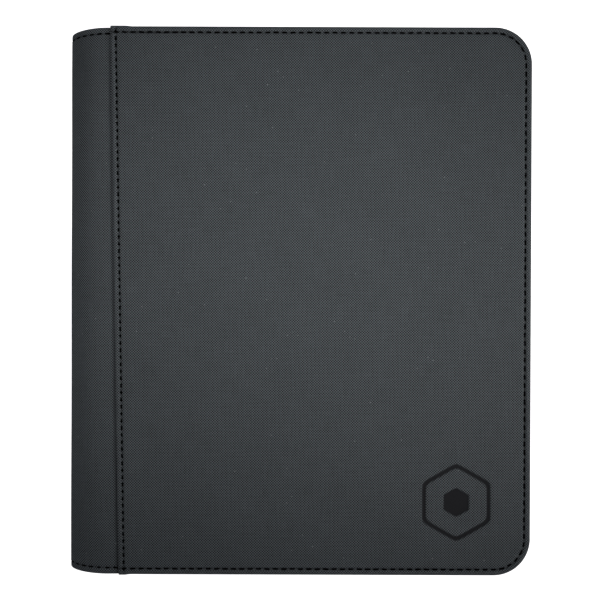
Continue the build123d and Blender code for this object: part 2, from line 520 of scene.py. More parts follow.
@dataclass(frozen=True)
class Grained:
    """A plain material with a grain: foam cells, board fibres or the fine matt of extruded sheet.

    To the eye: two close colours mixed by the grain, the same grain in the roughness and as a slight relief.
    """

    name: str
    dark: str
    light: str
    grain: float
    roughness: float
    relief: float
    transmission: float = 0.0
    specular: float = 0.5
    glow: float = 0.0
    smoother: float = 0.07  # how far under its roughness the smoothest grain is
    unevenness: float = 0.15  # from the smoothest grain to the roughest

    def build(self) -> bpy.types.Material:
        """Make the material, with its grain as noise on Object coordinates."""
        material, tree, output = new_material(self.name)
        place = add_node(tree, "ShaderNodeTexCoord").outputs["Object"]
        noise = add_node(
            tree,
            "ShaderNodeTexNoise",
            {0: place, "Scale": 1 / (self.grain * MM), "Detail": 3.0, "Roughness": 0.6},
        )
        colour = add_node(
            tree,
            "ShaderNodeMix",
            {0: noise.outputs[0], 6: linear(self.dark), 7: linear(self.light)},
            data_type="RGBA",
        )
        rough = add_node(
            tree,
            "ShaderNodeMath",
            {0: noise.outputs[0], 1: self.unevenness, 2: self.roughness - self.smoother},
            operation="MULTIPLY_ADD",
        )
        bump = add_node(
            tree,
            "ShaderNodeBump",
            {"Strength": 0.7, "Distance": self.relief * MM, "Height": noise.outputs[0]},
        )
        shader = add_node(
            tree,
            "ShaderNodeBsdfPrincipled",
            {
                "Base Color": colour.outputs[2],
                "Roughness": rough.outputs[0],
                "Specular IOR Level": self.specular,
                "Transmission Weight": self.transmission,
                "Emission Color": (1, 1, 1, 1),
                "Emission Strength": self.glow,
                "Normal": bump.outputs[0],
            },
        )
        tree.links.new(shader.outputs[0], output.inputs[0])
        return material


LINING = WovenCloth(
    name="woven_lining",
    warp="2b2b2d",
    weft="1d1d1f",
    pressed="1d1d1f",
    thread_pitch=0.4,  # really about 0.25, drawn coarser so that it shows
    roughness=0.7,
    specular=0.3,
    bump_height=0.05,
    contrast=0.5,
    specks=0.3,
    coordinates=Coordinates.OBJECT,
)


@dataclass
class Finishes:
    """Every finish of the binder, each made once."""

    cover_cloth: bpy.types.Material = field(
        default_factory=WovenCloth(
            name="coated_plain_weave",
            warp="666c70",
            weft="040506",
            # the die's mark, and painted shade of the stitch grooves and the spine's crease
            pressed="2c2c2e",
            thread_pitch=0.77,
            roughness=0.52,
            specular=0.22,
            bump_height=0.14,
            contrast=1.8,
            specks=0.7,
            coordinates=Coordinates.CLOTH,
        ).build
    )
    lining_cloth: bpy.types.Material = field(default_factory=LINING.build)
    spine_lining: bpy.types.Material = field(
        default_factory=replace(LINING, name="woven_spine_lining", coordinates=Coordinates.CLOTH).build
    )
    thread: bpy.types.Material = field(default_factory=SewingThread().build)
    foam: bpy.types.Material = field(
        default_factory=Grained(
            name="closed_cell_foam",
            dark="8b8b8c",
            light="a5a5a6",
            grain=0.5,
            roughness=0.85,
            relief=0.08,
            specular=0.2,
        ).build
    )
    greyboard: bpy.types.Material = field(
        default_factory=Grained(
            name="uncoated_greyboard",
            dark="8a857c",
            light="a7a196",
            grain=0.9,
            roughness=0.9,
            relief=0.05,
            specular=0.2,
        ).build
    )
    page_sheet: bpy.types.Material = field(
        default_factory=Grained(
            name="black_polypropylene",
            dark="1b1b1d",
            light="242427",
            grain=0.6,
            roughness=0.45,
            relief=0.02,
        ).build
    )
    pocket_film: bpy.types.Material = field(
        default_factory=Grained(
            name="clear_polypropylene",
            dark="f2f6f8",
            light="fafcff",
            grain=40.0,
            roughness=0.22,
            relief=0.4,
            transmission=1.0,
        ).build
    )


# ----------------------------------------------------------------------------------------------------
# Stitches


@dataclass(frozen=True)
class StitchKind:
    """Size of the stitches of one row."""

    pitch: float
    length: float
    width: float
    height: float
    dip: float = 0.7
    uneven_length: float = 0.07  # share of the length
    uneven_slant: float = 0.05  # share of the length
    uneven_place: float = 0.06

    def inner(self) -> "StitchKind":
        """The same row on the lining, where the thread is drawn in thinner and flatter."""
        return replace(self, width=self.width * 0.8, height=self.height * 0.6, dip=self.dip * 0.5)


EDGE_STITCH = StitchKind(pitch=4.9, length=3.7, width=1.15, height=0.7)
SEAM_STITCH = StitchKind(pitch=4.15, length=2.7, width=1.2, height=0.7)
STITCH_RINGS = 6
STITCH_SIDES = 6
STITCH_REACH = 0.97  # the first and last ring, as a share of half the length


def even_pitch(path: Array, pitch: float) -> float:
    """The distance nearest to the wanted pitch that divides a line into a whole number of stitches."""
    length = float(np.linalg.norm(np.diff(path, axis=0), axis=1).sum())
    return length / round(length / pitch)


def along_path(path: Array, pitch: float) -> Tuple[Array, Array]:
    """Middles and directions of stitches spread evenly along a line.

    Args:
        path: Points of the line, one to a row.
        pitch: Wanted distance from stitch to stitch.

    Returns:
        The middles, and a unit vector along the line at each.
    """
    steps = np.linalg.norm(np.diff(path, axis=0), axis=1)
    distance = np.concatenate([[0], np.cumsum(steps)])
    count = round(distance[-1] / pitch)
    middles = (np.arange(count) + 0.5) * distance[-1] / count
    reach = pitch / 4
    points, before, after = (
        np.stack([np.interp(middles + shift, distance, column) for column in path.T], axis=1)
        for shift in (0, -reach, reach)
    )
    direction = after - before
    return points, direction / np.linalg.norm(direction, axis=1, keepdims=True)


def stitch_row(middles: Array, along: Array, up: Array, kind: StitchKind, seed: int) -> Surface:
    """Thread stitches that lie on a cloth and dip into the needle holes at both ends.

    Formula: with t from -1 to 1 along a stitch, the section is an ellipse whose size is the square root of 1
    less t to the 4th, and the middle of the thread sinks by the dip times t to the 4th.

    Args:
        middles: Middle of each stitch, on the cloth.
        along: Unit vector along each stitch.
        up: Unit vector out of the cloth at each stitch.
        kind: The stitches' size.
        seed: Starts the small unevenness of length, slant and place.

    Returns:
        One surface with all the stitches, each a closed form of 32 faces.
    """
    rng = np.random.default_rng(seed)
    count = len(middles)
    length = kind.length * (1 + rng.uniform(-kind.uneven_length, kind.uneven_length, count))
    slant = rng.uniform(-kind.uneven_slant, kind.uneven_slant, count) * kind.length
    shift = rng.uniform(-kind.uneven_place, kind.uneven_place, count)
    side = np.cross(up, along)
    t = np.linspace(-STITCH_REACH, STITCH_REACH, STITCH_RINGS)
    turn = np.linspace(0, 2 * math.pi, STITCH_SIDES, endpoint=False)
    size = np.sqrt(1 - t**4)
    ahead = (length[:, None, None] / 2 * t[None, :, None]) * np.ones(len(turn))
    lift = kind.height / 4 - kind.dip * t**4
    rise = lift[None, :, None] + size[None, :, None] * kind.height / 2 * np.sin(turn)
    width = size[None, :, None] * kind.width / 2 * np.cos(turn)
    aside = shift[:, None, None] + slant[:, None, None] * t[None, :, None] + width
    points = (
        middles[:, None, None, :]
        + ahead[..., None] * along[:, None, None, :]
        + aside[..., None] * side[:, None, None, :]
        + rise[..., None] * up[:, None, None, :]
    )
    per_stitch = len(t) * len(turn)
    shell = grid_faces(len(t), len(turn), closed=True)[:, ::-1]
    first_end = np.arange(len(turn))[None, :]
    last_end = (per_stitch - 1 - np.arange(len(turn)))[None, :]
    starts = np.arange(count)[:, None, None] * per_stitch
    faces = [(part[None] + starts).reshape(-1, part.shape[1]) for part in (shell, first_end, last_end)]
    cloth = np.stack(np.broadcast_arrays(ahead, turn * kind.width / 2), axis=-1)
    return Surface(points.reshape(-1, 3), faces, cloth.reshape(-1, 2))


# ----------------------------------------------------------------------------------------------------
# Covers


# where the grids have lines, in from an edge or the fold: close together over the stitches, then wider apart
EDGE_LINES = (np.arange(2.2, 5.3, 0.3), [5.8, 6.6, 7.7, 9.2])
FOLD_LINES = (np.arange(1.0, 5.0, 0.3), [5.4, 6.2, 7.4])
SPINE_LINES = (np.arange(1.2, 5.3, 0.35), [5.8, 6.8, 8.4])
TINY = 1e-9  # keeps a division away from 0
TOUCHING = 1e-6  # what lies closer to the fold or to an end than this is on it


@dataclass
class Cover:
    """One cover: a padded outer panel turned in round three edges, its stitches and the layers inside it."""

    side: Side
    finishes: Finishes
    corner_radius: float = 21.5
    skin: float = 0.8
    rim_radius: float = 1.65  # how far in from the edge the rim starts to curve down
    rim_drop: float = 0.3  # how much lower the cloth lies outside its stitches
    rim_turn: float = 1.5  # height of the curve from the rim down to the widest place
    hem_radius: float = 0.3  # lower curve of the cloth where it isn't turned in round a board
    hem_play: float = 0.05  # between the turned-in cloth and the board
    fold_radius: float = 1.2
    fold_straightens: Tuple[float, float] = (12.0, 50.0)  # where the grid stops leaning with the fold
    overlap_drop: float = 0.1  # as rim_drop, where the panel lies over the spine cloth
    board_cover: Tuple[float, float] = (3.5, 0.3)  # how far before the board its rim starts and is whole
    edge_stitch_inset: float = 3.7
    edge_row_start: float = 0.9  # how far from the fold the edge stitches begin
    seam_stitch_inset: float = 3.1
    seam_row_end: float = 1.2  # how far from head and tail the seam stitches end
    shoulder: Tuple[float, float] = (0.6, 1.4)  # how far outside and inside the edge stitches the rim drops
    ridge: Tuple[float, float, float] = (0.14, 1.3, 0.9)  # height, place and width of the swell on the fold
    groove_depth: float = 0.55
    groove_width: float = 0.8
    # the thread squeezes the weave flat at the stitch rows, and the cloth is darkened there as painted groove
    # shade
    squeeze_and_shade: float = 0.5
    edge_squeeze_and_shade_width: float = 0.55
    seam_squeeze_and_shade_width: float = 0.5
    pucker: float = 0.35  # how much deeper the cloth is pulled in at the needle holes
    crown: float = 0.22  # how much the padding swells inside the stitches
    crown_reach: float = 6.0
    sag_starts: Tuple[float, float] = (2.0, 4.0)  # from the fold
    wave_height: float = 0.1
    wave_lengths: Tuple[float, float] = (13.1, 15.7)  # across and along, for each radian
    slanting_wave_height: float = 0.06
    slanting_wave_length: float = 7.9
    wave_starts: Tuple[float, float] = (4.0, 20.0)  # from the fold and the edge
    grid_step: float = 1.25
    mark_size: float = 40.0
    mark_line: float = 2.4
    mark_core: float = 15.0
    mark_depth: float = 0.45
    mark_wall: float = 0.5
    mark_step: float = 0.55
    mark_margin: float = 1.2
    mark_from_fore_edge: float = 43.5
    mark_from_tail: float = 43.0
    fore_x: float = field(init=False)
    half_length: float = field(init=False)
    turned_depth: float = field(init=False)
    seam_x: float = field(init=False)
    lean: float = field(init=False)
    board_x: float = field(init=False)
    outside_z: float = field(init=False)
    inwards: int = field(init=False)
    inside_depth: float = field(init=False)

    def __post_init__(self) -> None:
        """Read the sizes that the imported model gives."""
        low, high = box_mm(self.node("outer_panel"))
        seam_low, seam_high = box_mm(self.node("seam_stitching"))
        lining_low, lining_high = box_mm(self.node("lining"))
        self.fore_x = high[0]
        self.half_length = high[1]
        self.turned_depth = high[2] - low[2]
        self.seam_x = (seam_low[0] + seam_high[0]) / 2 - self.seam_stitch_inset
        self.lean = 2 * (self.seam_x - low[0])
        self.board_x = box_mm(self.node("board"))[0][0]
        self.outside_z = high[2] if self.side is Side.FRONT else low[2]
        self.inwards = -1 if self.side is Side.FRONT else 1
        inner_z = lining_low[2] if self.side is Side.FRONT else lining_high[2]
        self.inside_depth = abs(inner_z - self.outside_z)

    def node(self, piece: str) -> str:
        """Name of a node of this cover."""
        return f"{self.side.value}_{piece}"

    def place(self, x: Array, y: Array, depth: Array) -> Array:
        """Points of the frame from a place on the cover and a depth under its outside."""
        return np.stack(np.broadcast_arrays(x, y, self.outside_z + self.inwards * depth), axis=-1)

    def fold_x(self, y: Array) -> Array:
        """Where the folded edge lies, which leans evenly from tail to head."""
        return self.seam_x - self.lean / 2 * y / self.half_length

    def edge_offsets(self, x: Array, y: Array) -> Tuple[Array, Array]:
        """How far a point lies past the middles of the two corner arcs, along x and along y."""
        past_x = np.maximum(x - (self.fore_x - self.corner_radius), 0)
        past_y = np.maximum(np.abs(y) - (self.half_length - self.corner_radius), 0) * np.sign(y)
        return past_x, past_y

    def edge_distance(self, x: Array, y: Array) -> Array:
        """Distance in from the head, the fore-edge or the tail, whichever is nearest.

        Formula: the corner radius, less the distance past the corner arcs' middles, plus how far a point lies
        short of both of them.
        """
        past_x, past_y = self.edge_offsets(x, y)
        short_x = x - (self.fore_x - self.corner_radius)
        short_y = np.abs(y) - (self.half_length - self.corner_radius)
        inner = np.minimum(np.maximum(short_x, short_y), 0)
        return self.corner_radius - np.hypot(past_x, past_y) - inner

    def board_share(self, x: Array) -> Array:
        """0 where the panel lies over the spine cloth, 1 where it is turned in round the board."""
        start, end = self.board_cover
        return smooth_step(x, self.board_x - start, self.board_x - end)

    def hexagon(self, x: Array, y: Array) -> Array:
        """Half the distance across the flats of the hexagon through a point, its corners slightly rounded.

        Formula: the 20th root of the sum of the 20th powers of the distances along 0, 60 and 120 degrees.
        """
        middle_x = self.fore_x - self.mark_from_fore_edge
        middle_y = self.mark_from_tail - self.half_length
        total = np.zeros(np.broadcast(x, y).shape)
        for angle in (0, math.pi / 3, 2 * math.pi / 3):
            total = total + ((x - middle_x) * math.cos(angle) + (y - middle_y) * math.sin(angle)) ** 20
        return total ** (1 / 20)

    def pressed(self, x: Array, y: Array) -> Array:
        """1 in the pressed hexagon line and in its core, 0 elsewhere, with sloping walls."""
        size = self.hexagon(x, y)
        wall = self.mark_wall / 2
        outer = self.mark_size / 2
        inner = outer - self.mark_line
        middle = self.mark_core / 2
        line = smooth_step(size, inner - wall, inner + wall)
        line = line * (1 - smooth_step(size, outer - wall, outer + wall))
        core = 1 - smooth_step(size, middle - wall, middle + wall)
        return line + core

    def squeeze_and_groove_shade(self, x: Array, y: Array) -> Array:
        """How much the thread squeezes the cloth under it, and painted groove shade: a bell across each row
        of stitches.
        """
        edge = bell(self.edge_distance(x, y) - self.edge_stitch_inset, self.edge_squeeze_and_shade_width)
        seam = bell(x - self.fold_x(y) - self.seam_stitch_inset, self.seam_squeeze_and_shade_width)
        return self.squeeze_and_shade * np.maximum(edge, seam)

    def rim_depth(self, distance: Array, radius: Array, widest: Array, top: Array) -> Array:
        """Depth of a rounded edge: a quarter ellipse from the widest place, at the edge, up to the top.

        Args:
            distance: How far in from the edge.
            radius: Where the curve reaches the top.
            widest: Depth of the widest place.
            top: Depth of the top.

        Returns:
            The depth, which is the top's beyond the radius.
        """
        share = np.clip(1 - distance / radius, 0, 1)
        return widest - (widest - top) * np.sqrt(1 - share**2)

    def edge_travel(self, x: Array, y: Array) -> Array:
        """Distance along the line of the edge stitches, from its start at the head to a point beside it.

        Formula: along the head, then the corner arc's radius times the angle, then down the fore-edge, and
        the same again for the corner at the tail and the tail itself.
        """
        radius = self.corner_radius - self.edge_stitch_inset
        middle_x = self.fore_x - self.corner_radius
        middle_y = self.half_length - self.corner_radius
        past_x, past_y = self.edge_offsets(x, y)
        start_x = self.fold_x(self.half_length - self.edge_stitch_inset) + self.edge_row_start
        head = np.minimum(x, middle_x) - start_x
        head_turn = radius * np.arctan2(past_x, np.maximum(past_y, TINY))
        upper = head + np.where(y > middle_y, head_turn, radius * math.pi / 2 + middle_y - y)
        to_tail = middle_x - start_x + radius * math.pi / 2 + 2 * middle_y
        tail_turn = radius * np.arctan2(np.maximum(-past_y, 0), np.maximum(past_x, TINY))
        lower = to_tail + np.where(x > middle_x, tail_turn, radius * math.pi / 2 + middle_x - x)
        return np.where(y < -middle_y, lower, upper)

    def slow_waves(self, x: Array, y: Array) -> Array:
        """Slow waves of the cloth over its padding, some 40 to 100 mm long.

        Formula: the product of a sine across and a sine along, plus a sine in a slanting direction.
        """
        across, along = self.wave_lengths
        product = self.wave_height * np.sin(x / across + 1.0) * np.sin(y / along + 2.0)
        return product + self.slanting_wave_height * np.sin((x + 0.6 * y) / self.slanting_wave_length)

    def relief(self, x: Array, y: Array) -> Array:
        """Depth of the outer cloth under the plane of the cover's outside.

        Formula: the deeper of the rounded edge and the rounded fold, plus a bell-shaped groove along each row
        of stitches, which is deepest at the needle holes, plus the sag of the padding towards them, plus slow
        waves of the cloth. The front cover has the pressed mark as well. The back cover has none, and nothing
        of it comes past the plane that the binder lies on.

        Args:
            x: Places across the cover.
            y: Places along the cover.

        Returns:
            The depths.
        """
        distance = self.edge_distance(x, y)
        from_fold = x - self.fold_x(y)
        boarded = self.board_share(x)
        row = self.edge_stitch_inset
        outside = 1 - smooth_step(distance, row - self.shoulder[0], row + self.shoulder[1])
        top = (self.overlap_drop + (self.rim_drop - self.overlap_drop) * boarded) * outside
        widest = self.fold_widest + (self.rim_drop + self.rim_turn - self.fold_widest) * boarded
        radius = self.fold_radius + (self.rim_radius - self.fold_radius) * boarded
        rim = self.rim_depth(distance, radius, widest, top)
        fold = self.rim_depth(from_fold, self.fold_radius, self.fold_widest, 0)
        ridge_height, ridge_place, ridge_width = self.ridge
        ridge = ridge_height * bell(from_fold - ridge_place, ridge_width)
        edge_holes = 1 + self.pucker * np.cos(2 * math.pi * self.edge_travel(x, y) / self.edge_pitch)
        seam_holes = 1 + self.pucker * np.cos(2 * math.pi * (self.seam_line()[0, 1] - y) / self.seam_pitch)
        groove = self.groove_depth * edge_holes * bell(distance - row, self.groove_width)
        from_seam = from_fold - self.seam_stitch_inset
        seam_groove = self.groove_depth * seam_holes * bell(from_seam, self.groove_width)
        inner_edge = np.exp(-np.maximum(distance - row, 0) / self.crown_reach)
        inner_fold = np.exp(-np.maximum(from_seam, 0) / self.crown_reach)
        past_fold = smooth_step(from_fold, *self.sag_starts)
        sag = self.crown * (np.maximum(inner_edge * (1 - outside), inner_fold * past_fold))
        calm = smooth_step(distance, *self.wave_starts) * smooth_step(from_fold, *self.wave_starts)
        depth = np.maximum(rim, fold) + np.maximum(groove, seam_groove) + sag - ridge
        depth = depth + self.slow_waves(x, y) * calm
        if self.side is Side.BACK:
            return np.maximum(depth, 0)
        return depth + self.mark_depth * self.pressed(x, y)

    @property
    def fold_widest(self) -> float:
        """Depth of the widest place of the single folded cloth, three quarters of the way down it."""
        return 0.75 * self.skin

    @property
    def edge_pitch(self) -> float:
        """Distance from stitch to stitch round the edge, so that a whole number of them fits."""
        return even_pitch(self.edge_line(self.edge_stitch_inset), EDGE_STITCH.pitch)

    @property
    def seam_pitch(self) -> float:
        """Distance from stitch to stitch beside the fold, so that a whole number of them fits."""
        return even_pitch(self.seam_line(), SEAM_STITCH.pitch)

    @property
    def seam_inside_depth(self) -> float:
        """Depth of the inside of the spine's lining where it goes flat under this cover."""
        low, high = box_mm(f"spine_lining_{self.side.value}")
        outer = high[2] if self.side is Side.FRONT else low[2]
        return abs(outer - self.outside_z) + SpineLayers.lining_cloth

    def grid_lines(self) -> Tuple[Array, Array]:
        """Places of the panel's grid lines, close together at the edges, the stitches and the mark.

        Returns:
            Distances along x from the straight fold to the fore-edge, and along y from tail to head.
        """
        turns = np.linspace(0, math.pi / 2, 7)
        rim = self.rim_radius * (1 - np.cos(turns))
        edge = np.concatenate([rim, *EDGE_LINES])
        fold = np.concatenate([self.fold_radius * (1 - np.cos(turns)), *FOLD_LINES])
        mark_x = self.fore_x - self.mark_from_fore_edge
        mark_y = self.mark_from_tail - self.half_length
        reach_x = self.mark_size / 2 + self.mark_margin
        reach_y = self.mark_size / math.sqrt(3) + self.mark_margin
        fine = self.mark_step if self.side is Side.FRONT else self.grid_step
        step = self.grid_step
        across = np.concatenate([
            self.seam_x + fold,
            evenly(self.seam_x + fold[-1] + step, mark_x - reach_x, step),
            evenly(mark_x - reach_x, mark_x + reach_x, fine),
            evenly(mark_x + reach_x, self.fore_x - edge[-1] - 0.1, step),
            self.fore_x - edge[::-1],
        ])
        lengthwise = np.concatenate([
            -self.half_length + edge,
            evenly(-self.half_length + edge[-1] + step, mark_y - reach_y, step),
            evenly(mark_y - reach_y, mark_y + reach_y, fine),
            evenly(mark_y + reach_y, self.half_length - edge[-1] - 0.1, step),
            self.half_length - edge[::-1],
        ])
        return across, lengthwise

    def plan(self) -> Tuple[Array, Array]:
        """The panel's grid drawn flat: leaning at the fold, and rounded at the two fore-edge corners.

        Formula at a corner: with u and v the shares of the way across the corner square, the point goes to
        the radius max(u, v) at 45 degrees times v / u from one side, or times u / v from the other, so that
        the square's rings become quarter circles.

        Returns:
            The x and y of every grid point, rows along x.
        """
        across, lengthwise = self.grid_lines()
        x, y = np.meshgrid(across, lengthwise, indexing="ij")
        leaning, straight = self.fold_straightens
        near_fold = 1 - smooth_step(x, self.seam_x + leaning, self.seam_x + straight)
        x = x + (self.fold_x(y) - self.seam_x) * near_fold
        past_x, past_y = self.edge_offsets(x, y)
        u = past_x / self.corner_radius
        v = np.abs(past_y) / self.corner_radius
        radius = np.maximum(u, v)
        ratio = np.minimum(u, v) / np.maximum(radius, TINY)
        turn = math.pi / 4 * ratio
        turn = np.where(v > u, math.pi / 2 - turn, turn)
        corner = (u > 0) & (v > 0)
        middle_x = self.fore_x - self.corner_radius
        middle_y = (self.half_length - self.corner_radius) * np.sign(y)
        round_x = middle_x + self.corner_radius * radius * np.cos(turn)
        round_y = middle_y + self.corner_radius * radius * np.sin(turn) * np.sign(y)
        return np.where(corner, round_x, x), np.where(corner, round_y, y)

    def outward(self, x: Array, y: Array) -> Tuple[Array, Array]:
        """Unit vector out of the cover's rounded outline, along x and y, and 0 in the cover's middle."""
        past_x, past_y = self.edge_offsets(x, y)
        reach = np.maximum(np.hypot(past_x, past_y), TINY)
        return past_x / reach, past_y / reach

    def face_cloth(self, x: Array, y: Array) -> Array:
        """Where the points of the face lie on the flat cloth.

        Formula: the place on the plan, moved outwards by how much longer the cloth's way round the rim is
        than the rim is wide on the plan.

        Args:
            x: Places across the cover.
            y: Places along the cover.

        Returns:
            Two numbers for each point.
        """
        out_x, out_y = self.outward(x, y)
        distance = self.edge_distance(x, y)
        bend = np.arccos(np.clip(1 - distance / self.rim_radius, 0, 1))
        extra = self.rim_radius * (math.pi / 2 - bend) - np.maximum(self.rim_radius - distance, 0)
        return np.stack([x + out_x * extra, y + out_y * extra], axis=-1)

    def turned_in(self, x: Array, y: Array, depth: Array, cloth: Array) -> Tuple[Array, Array]:
        """Rings of points from the outline of the face, round under it, to the inside of the cloth.

        Formula: straight down, then a quarter circle in to the inside, then up the board's edge to the inside
        of the cloth. At the fold there is no board, and the cloth is only folded under.

        Args:
            x: Places of the outline across the cover.
            y: Places of the outline along the cover.
            depth: Depths of the outline.
            cloth: Where the outline lies on the flat cloth.

        Returns:
            The rings' points, and where they lie on the flat cloth.
        """
        normal_x, normal_y = self.outward(x, y)
        at_fold = x - self.fold_x(y) < TOUCHING
        at_end = self.half_length - np.abs(y) < TOUCHING
        normal_x[at_fold] = -1
        normal_y[at_fold & ~at_end] = 0
        normal_y[at_fold & at_end] = np.sign(y[at_fold & at_end])

        boarded = np.where(at_fold, 0, self.board_share(x))
        bottom = self.skin + (self.turned_depth - self.skin) * boarded
        under = self.hem_radius + (self.skin - self.hem_radius) * boarded
        turns = np.linspace(0, math.pi / 2, 4)
        insets = [under * (1 - math.cos(turn)) for turn in turns]
        depths = [bottom - under * (1 - math.sin(turn)) for turn in turns]
        insets.append(np.full(len(x), self.skin + self.hem_play))
        depths.append(np.full(len(x), self.skin))
        inset, ring_depth = np.array(insets), np.array(depths)

        steps_in = np.abs(np.diff(np.vstack([np.zeros(len(x)), inset]), axis=0))
        steps_down = np.abs(np.diff(np.vstack([depth, ring_depth]), axis=0))
        travelled = np.cumsum(np.hypot(steps_in, steps_down), axis=0)
        normal = np.stack([normal_x, normal_y], axis=-1)
        ring_cloth = cloth[None] + travelled[..., None] * normal[None]
        return self.place(x - normal_x * inset, y - normal_y * inset, ring_depth), ring_cloth

    def outer_surface(self) -> Surface:
        """The outer panel: the padded face, the rim turned in round it, and the flat inside of the cloth.

        Returns:
            A closed surface.
        """
        x, y = self.plan()
        depth = self.relief(x, y)
        cloth = self.face_cloth(x, y).reshape(-1, 2)
        rows, columns = x.shape
        number = np.arange(rows * columns).reshape(rows, columns)
        loop = np.concatenate([number[:, 0], number[-1, 1:], number[-2::-1, -1], number[0, -2:0:-1]])
        outline = (x.ravel()[loop], y.ravel()[loop], depth.ravel()[loop], cloth[loop])
        rim, rim_cloth = self.turned_in(*outline)

        points = np.concatenate([self.place(x, y, depth).reshape(-1, 3), rim.reshape(-1, 3)])
        ring = rows * columns + np.arange(len(rim) * len(loop)).reshape(-1, len(loop))
        rings = np.vstack([loop, ring])
        after = np.roll(rings, -1, axis=1)
        band = np.stack([rings[:-1], rings[1:], after[1:], after[:-1]], axis=-1).reshape(-1, 4)
        faces = [grid_faces(rows, columns), band, ring[-1][None, ::-1]]
        # painted shade of the stitch grooves, and on the front the die's pressed mark
        squeeze_and_groove_shade = self.squeeze_and_groove_shade(x, y)
        if self.side is Side.FRONT:
            squeeze_and_groove_shade = np.maximum(squeeze_and_groove_shade, self.pressed(x, y))
        else:
            faces = [part[:, ::-1] for part in faces]
        pressed = np.zeros(len(points))
        pressed[: rows * columns] = squeeze_and_groove_shade.ravel()
        return Surface(points, faces, np.concatenate([cloth, rim_cloth.reshape(-1, 2)]), pressed)

    def edge_line(self, inset: float) -> Array:
        """The line of the edge stitches: head, corner arc, fore-edge, corner arc and tail, in plan."""
        radius = self.corner_radius - inset
        middle_x = self.fore_x - self.corner_radius
        middle_y = self.half_length - self.corner_radius
        turn = np.linspace(0, math.pi / 2, 40)
        end_y = self.half_length - inset
        head = np.array([[self.fold_x(end_y) + self.edge_row_start, end_y]])
        tail = np.array([[self.fold_x(-end_y) + self.edge_row_start, -end_y]])
        head_arc = np.stack([middle_x + radius * np.sin(turn), middle_y + radius * np.cos(turn)], axis=1)
        tail_arc = np.stack([middle_x + radius * np.cos(turn), -middle_y - radius * np.sin(turn)], axis=1)
        return np.concatenate([head, head_arc, tail_arc, tail])

    def seam_line(self) -> Array:
        """The line of the stitches beside the fold, from the head to the tail, in plan."""
        end_y = self.half_length - self.seam_row_end
        return np.array([[self.fold_x(y) + self.seam_stitch_inset, y] for y in (end_y, -end_y)])

    def stitches(self, path: Array, kind: StitchKind, inner_depth: float, seed: int) -> Surface:
        """Both faces of a row of lockstitches: on the outer cloth, and half a stitch further on the lining.

        Args:
            path: The row's line in plan.
            kind: The stitches' size.
            inner_depth: Depth of the face that shows inside.
            seed: Starts the unevenness.

        Returns:
            The stitches of both faces.
        """
        outward = np.array([0.0, 0.0, -self.inwards])
        middles, along = along_path(path, kind.pitch)
        up = np.tile(outward, (len(middles), 1))
        flat = np.zeros((len(middles), 1))
        along = np.hstack([along, flat])
        depth = self.relief(middles[:, 0], middles[:, 1])
        outer = stitch_row(self.place(middles[:, 0], middles[:, 1], depth), along, up, kind, seed)
        shifted = middles + along[:, :2] * kind.pitch / 2
        inner_place = self.place(shifted[:-1, 0], shifted[:-1, 1], inner_depth)
        inner = stitch_row(inner_place, along[:-1], -up[:-1], kind.inner(), seed + 1)
        return Surface.joined([outer, inner])

    def build(self) -> None:
        """Make this cover's new pieces and dress the nodes that stay."""
        body = f"{self.side.value}_cover"
        panel = make_piece(self.node("padded_panel"), self.outer_surface(), self.finishes.cover_cloth)
        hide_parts(self.node("outer_panel"))
        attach(panel, body)
        seed = 10 if self.side is Side.FRONT else 20
        rows = {
            "edge": (self.edge_line(self.edge_stitch_inset), EDGE_STITCH, self.inside_depth, seed),
            "seam": (self.seam_line(), SEAM_STITCH, self.seam_inside_depth, seed + 5),
        }
        for row, details in rows.items():
            sewn = make_piece(self.node(f"{row}_stitches"), self.stitches(*details), self.finishes.thread)
            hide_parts(self.node(f"{row}_stitching"))
            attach(sewn, body)
        dress(self.node("lining"), self.finishes.lining_cloth)
        dress(self.node("foam_pad"), self.finishes.foam)
        dress(self.node("board"), self.finishes.greyboard)


# ----------------------------------------------------------------------------------------------------
# Spine


@dataclass(frozen=True)
class SpineLayers:
    """Thicknesses of what goes round the spine."""

    panel_cloth: float = 0.8
    lining_cloth: float = 0.5
    strip: float = 0.6


def carried(
    path: Array, normal: Array, ends: Array, offset: Array, relief: Optional[Array] = None
) -> Surface:
    """A closed cross-section carried along a path in the XZ plane, with both ends capped.

    Formula: the path's point plus the normal times the offset, and y runs round the cross-section.

    Args:
        path: Points of the path, x and z.
        normal: Unit vector out of the outside at each point of the path.
        ends: The y of each corner of the closed cross-section, going up the outside and down the inside.
        offset: How far each corner lies outside the path.
        relief: Further offset for each path point and corner.

    Returns:
        The closed surface, with its cloth map's first number along the path.
    """
    steps = np.linalg.norm(np.diff(path, axis=0), axis=1)
    travelled = np.concatenate([[0], np.cumsum(steps)])
    out = np.broadcast_to(offset, (len(path), len(ends))).copy()
    if relief is not None:
        out = out + relief
    x = path[:, 0, None] + normal[:, 0, None] * out
    z = path[:, 1, None] + normal[:, 1, None] * out
    y = np.broadcast_to(ends, x.shape)
    points = np.stack([x, y, z], axis=-1)
    side_steps = np.abs(np.diff(offset, prepend=offset[0]))
    slide = np.cumsum(side_steps) * np.sign(np.where(ends == 0, 1, ends))
    cloth = np.stack([np.broadcast_to(travelled[:, None], x.shape), y + slide], axis=-1)
    rows, columns = x.shape
    first = np.arange(columns)[None, :]
    last = (rows - 1) * columns + np.arange(columns)[None, ::-1]
    faces = [grid_faces(rows, columns, closed=True), first, last]
    return Surface(points.reshape(-1, 3), faces, cloth.reshape(-1, 2))


